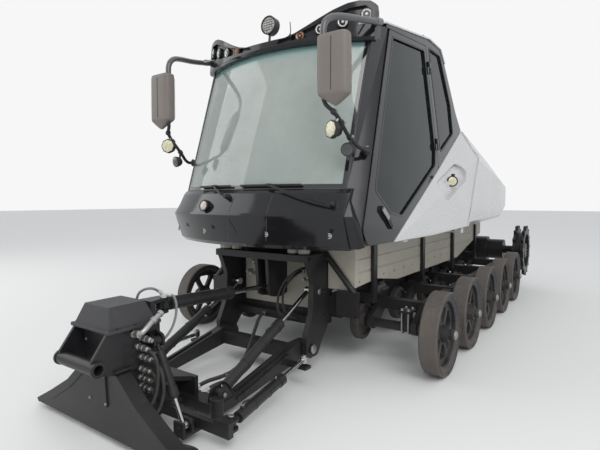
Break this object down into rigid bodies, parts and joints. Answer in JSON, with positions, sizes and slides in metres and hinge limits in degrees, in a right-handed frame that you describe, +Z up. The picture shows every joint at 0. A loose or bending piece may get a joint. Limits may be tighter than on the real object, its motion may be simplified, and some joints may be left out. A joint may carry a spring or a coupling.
{
  "type": "snow groomer",
  "caption": "Snow groomer carrier machine on bare road wheels, tracks off, with its front implement carrier lowered",
  "frame": {"origin": "ground level under the middle of the bounding box", "axes": "+Z up, -Y forward to the nose and front carrier, +X the machine's left side"},
  "size_m": [2.84, 6.8999, 2.979],
  "materials": {
    "black_paint": "satin black paint, scuffed",
    "gloss_black": "gloss black paint",
    "silver_paint": "silver grey metallic paint",
    "cream_paint": "cream paint",
    "rubber": "matte rubber",
    "wheel_rubber": "worn solid rubber tyre on a black rim",
    "cast": "painted casting",
    "screen_glass": "pale green tinted glass",
    "dark_glass": "dark tinted glass",
    "taupe_plastic": "warm grey moulded plastic",
    "black_plastic": "black moulded plastic",
    "cover_plastic": "dark grey moulded plastic",
    "seat_fabric": "black seat fabric",
    "chrome": "chromed rod"
  },
  "bodies": {
    "chassis": {"chassis_frame": "black_paint", "front_tower": "black_paint", "axle_beams": "black_paint", "guide_rollers": "rubber", "engine_block": "cast", "belly_panels": "cream_paint", "cab_floor": "black_paint", "cab_nose": "gloss_black", "cab_frame": "gloss_black", "cab_roof": "silver_paint", "lamp_visor": "gloss_black", "rear_wall": "gloss_black", "windscreen": "screen_glass", "cab_windows": "dark_glass", "side_panels": "silver_paint", "mirrors": "taupe_plastic", "wipers": "black_plastic", "seats": "seat_fabric", "dashboard": "black_plastic", "rear_carrier": "black_paint"},
    "hood": {"hood": "silver_paint"},
    "door_left": {"door_left": "gloss_black", "door_glass_left": "dark_glass"},
    "door_right": {"door_right": "gloss_black", "door_glass_right": "dark_glass"},
    "wheel_left_1": {"wheel_left_1": "wheel_rubber"},
    "wheel_left_2": {"wheel_left_2": "wheel_rubber"},
    "wheel_left_3": {"wheel_left_3": "wheel_rubber"},
    "wheel_left_4": {"wheel_left_4": "wheel_rubber"},
    "wheel_left_5": {"wheel_left_5": "wheel_rubber"},
    "wheel_right_1": {"wheel_right_1": "wheel_rubber"},
    "wheel_right_2": {"wheel_right_2": "wheel_rubber"},
    "wheel_right_3": {"wheel_right_3": "wheel_rubber"},
    "wheel_right_4": {"wheel_right_4": "wheel_rubber"},
    "wheel_right_5": {"wheel_right_5": "wheel_rubber"},
    "sprocket_left": {"sprocket_left": "black_paint"},
    "sprocket_right": {"sprocket_right": "black_paint"},
    "push_frame": {"push_frame": "black_paint"},
    "swing_block": {"swing_block": "black_paint"},
    "head": {"blade_plate": "black_paint", "head_cover": "cover_plastic"},
    "lift_barrels": {"lift_barrels": "black_paint"},
    "lift_rods": {"lift_rods": "chrome"},
    "top_barrel": {"top_barrel": "black_paint"},
    "top_rod": {"top_rod": "chrome"},
    "swing_barrel_left": {"swing_barrel_left": "black_paint"},
    "swing_barrel_right": {"swing_barrel_right": "black_paint"},
    "swing_rod_left": {"swing_rod_left": "chrome"},
    "swing_rod_right": {"swing_rod_right": "chrome"},
    "tilt_barrel": {"tilt_barrel": "black_paint"},
    "tilt_rod": {"tilt_rod": "chrome"}
  },
  "joints": [
    {"name": "hood_hinge", "type": "hinge", "parent": "chassis", "child": "hood", "pos_m": [0, 0.85, 2.206], "axis": [1, 0, 0], "range_deg": [0, 50]},
    {"name": "door_left_hinge", "type": "hinge", "parent": "chassis", "child": "door_left", "pos_m": [0.92641, -0.092, 1.677], "axis": [-0.0527, -0.2236, 0.9732], "range_deg": [0, 75]},
    {"name": "door_right_hinge", "type": "hinge", "parent": "chassis", "child": "door_right", "pos_m": [-0.92641, -0.092, 1.677], "axis": [-0.0527, 0.2236, -0.9732], "range_deg": [0, 75]},
    {"name": "wheel_left_1_spin", "type": "hinge", "parent": "chassis", "child": "wheel_left_1", "pos_m": [1.31, -1.25, 0.325], "axis": [1, 0, 0], "continuous": true},
    {"name": "wheel_left_2_spin", "type": "hinge", "parent": "chassis", "child": "wheel_left_2", "pos_m": [1.31, -0.45, 0.325], "axis": [1, 0, 0], "continuous": true},
    {"name": "wheel_left_3_spin", "type": "hinge", "parent": "chassis", "child": "wheel_left_3", "pos_m": [1.31, 0.35, 0.325], "axis": [1, 0, 0], "continuous": true},
    {"name": "wheel_left_4_spin", "type": "hinge", "parent": "chassis", "child": "wheel_left_4", "pos_m": [1.31, 1.15, 0.325], "axis": [1, 0, 0], "continuous": true},
    {"name": "wheel_left_5_spin", "type": "hinge", "parent": "chassis", "child": "wheel_left_5", "pos_m": [1.31, 1.95, 0.325], "axis": [1, 0, 0], "continuous": true},
    {"name": "sprocket_left_spin", "type": "hinge", "parent": "chassis", "child": "sprocket_left", "pos_m": [1.31, 2.77, 0.6], "axis": [1, 0, 0], "continuous": true},
    {"name": "wheel_right_1_spin", "type": "hinge", "parent": "chassis", "child": "wheel_right_1", "pos_m": [-1.31, -1.25, 0.325], "axis": [1, 0, 0], "continuous": true},
    {"name": "wheel_right_2_spin", "type": "hinge", "parent": "chassis", "child": "wheel_right_2", "pos_m": [-1.31, -0.45, 0.325], "axis": [1, 0, 0], "continuous": true},
    {"name": "wheel_right_3_spin", "type": "hinge", "parent": "chassis", "child": "wheel_right_3", "pos_m": [-1.31, 0.35, 0.325], "axis": [1, 0, 0], "continuous": true},
    {"name": "wheel_right_4_spin", "type": "hinge", "parent": "chassis", "child": "wheel_right_4", "pos_m": [-1.31, 1.15, 0.325], "axis": [1, 0, 0], "continuous": true},
    {"name": "wheel_right_5_spin", "type": "hinge", "parent": "chassis", "child": "wheel_right_5", "pos_m": [-1.31, 1.95, 0.325], "axis": [1, 0, 0], "continuous": true},
    {"name": "sprocket_right_spin", "type": "hinge", "parent": "chassis", "child": "sprocket_right", "pos_m": [-1.31, 2.77, 0.6], "axis": [1, 0, 0], "continuous": true},
    {"name": "lift", "type": "hinge", "parent": "chassis", "child": "push_frame", "pos_m": [0, -1.82, 0.2], "axis": [-1, 0, 0], "range_deg": [0, 30]},
    {"name": "swing", "type": "hinge", "parent": "push_frame", "child": "swing_block", "pos_m": [0, -2.86, 0.15], "axis": [0, 0, 1], "range_deg": [-15, 15]},
    {"name": "roll", "type": "hinge", "parent": "swing_block", "child": "head", "pos_m": [0, -3.06, 0.3], "axis": [0, 1, 0], "range_deg": [-6, 6]},
    {"name": "lift_barrel_swivel", "type": "hinge", "parent": "push_frame", "child": "lift_barrels", "pos_m": [0.375, -2.725, 0.15], "axis": [1, 0, 0], "range_deg": [-0.19, 6.66]},
    {"name": "lift_rod_slide", "type": "slide", "parent": "lift_barrels", "child": "lift_rods", "axis": [0, 0.9033, 0.429], "range_m": [-0.2052, 0.006]},
    {"name": "top_barrel_swivel", "type": "hinge", "parent": "push_frame", "child": "top_barrel", "pos_m": [0, -2.86, 0.69], "axis": [1, 0, 0], "range_deg": [-1.64, 0.05]},
    {"name": "top_rod_slide", "type": "slide", "parent": "top_barrel", "child": "top_rod", "axis": [0, 0.9988, -0.049], "range_m": [-0.2335, 0.0068]},
    {"name": "swing_barrel_left_swivel", "type": "hinge", "parent": "swing_block", "child": "swing_barrel_left", "pos_m": [0.655, -2.918, 0.12], "axis": [0, 0, 1], "range_deg": [-13.31, 13.31]},
    {"name": "swing_rod_left_slide", "type": "slide", "parent": "swing_barrel_left", "child": "swing_rod_left", "axis": [-0.1083, 0.9899, 0.0912], "range_m": [-0.1738, 0.1738]},
    {"name": "swing_barrel_right_swivel", "type": "hinge", "parent": "swing_block", "child": "swing_barrel_right", "pos_m": [-0.655, -2.918, 0.12], "axis": [0, 0, 1], "range_deg": [-13.31, 13.31]},
    {"name": "swing_rod_right_slide", "type": "slide", "parent": "swing_barrel_right", "child": "swing_rod_right", "axis": [0.1083, 0.9899, 0.0912], "range_m": [-0.1738, 0.1738]},
    {"name": "tilt_barrel_swivel", "type": "hinge", "parent": "head", "child": "tilt_barrel", "pos_m": [0.205, -3.062, 0.545], "axis": [0, 1, 0], "range_deg": [-4.62, 4.62]},
    {"name": "tilt_rod_slide", "type": "slide", "parent": "tilt_barrel", "child": "tilt_rod", "axis": [0.4512, 0, -0.8924], "range_m": [-0.0316, 0.0316]}
  ],
  "couplings": [
    {"joint": "lift_barrel_swivel", "follows": "lift", "ratio": 0.21556},
    {"joint": "lift_rod_slide", "follows": "lift", "m_per_rad": -0.38054},
    {"joint": "top_barrel_swivel", "follows": "lift", "ratio": -0.05316},
    {"joint": "top_rod_slide", "follows": "lift", "m_per_rad": -0.43304},
    {"joint": "swing_barrel_left_swivel", "follows": "swing", "ratio": -0.86152},
    {"joint": "swing_rod_left_slide", "follows": "swing", "m_per_rad": -0.64455},
    {"joint": "swing_barrel_right_swivel", "follows": "swing", "ratio": -0.86152},
    {"joint": "swing_rod_right_slide", "follows": "swing", "m_per_rad": 0.64455},
    {"joint": "tilt_barrel_swivel", "follows": "roll", "ratio": -0.74773},
    {"joint": "tilt_rod_slide", "follows": "roll", "m_per_rad": -0.29335}
  ]
}
